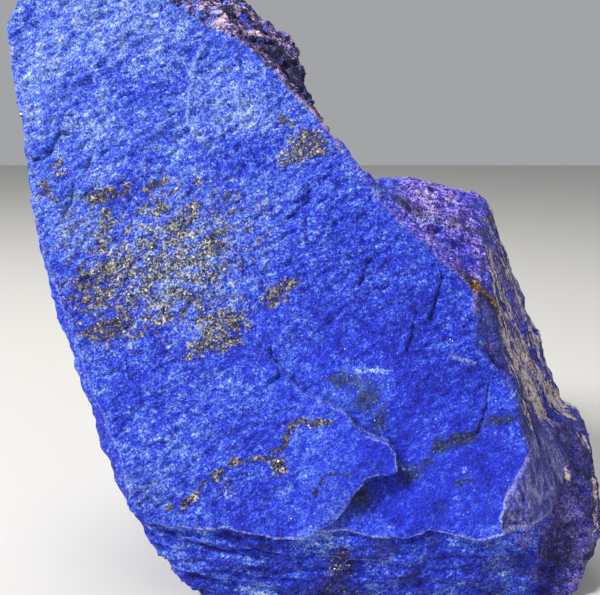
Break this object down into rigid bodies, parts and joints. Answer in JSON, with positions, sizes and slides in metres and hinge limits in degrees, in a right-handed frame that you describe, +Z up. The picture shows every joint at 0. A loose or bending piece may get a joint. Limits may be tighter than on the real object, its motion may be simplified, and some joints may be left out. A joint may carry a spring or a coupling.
{
  "type": "raw lapis lazuli",
  "caption": "Rough broken block of raw lapis lazuli with a flat split front, a rear shoulder and a flat foot that it stands on.",
  "frame": {"origin": "middle of the stone's outline, on the surface that it stands on", "axes": "+Z up, +X to the right as the split front is looked at, -Y out of the split front"},
  "size_m": [0.2586, 0.1538, 0.2719],
  "materials": {
    "lapis_rock": "rough, dull, grainy break with small metallic flecks"
  },
  "bodies": {
    "root": {"lapis_lazuli_stone": "lapis_rock"}
  },
  "joints": []
}
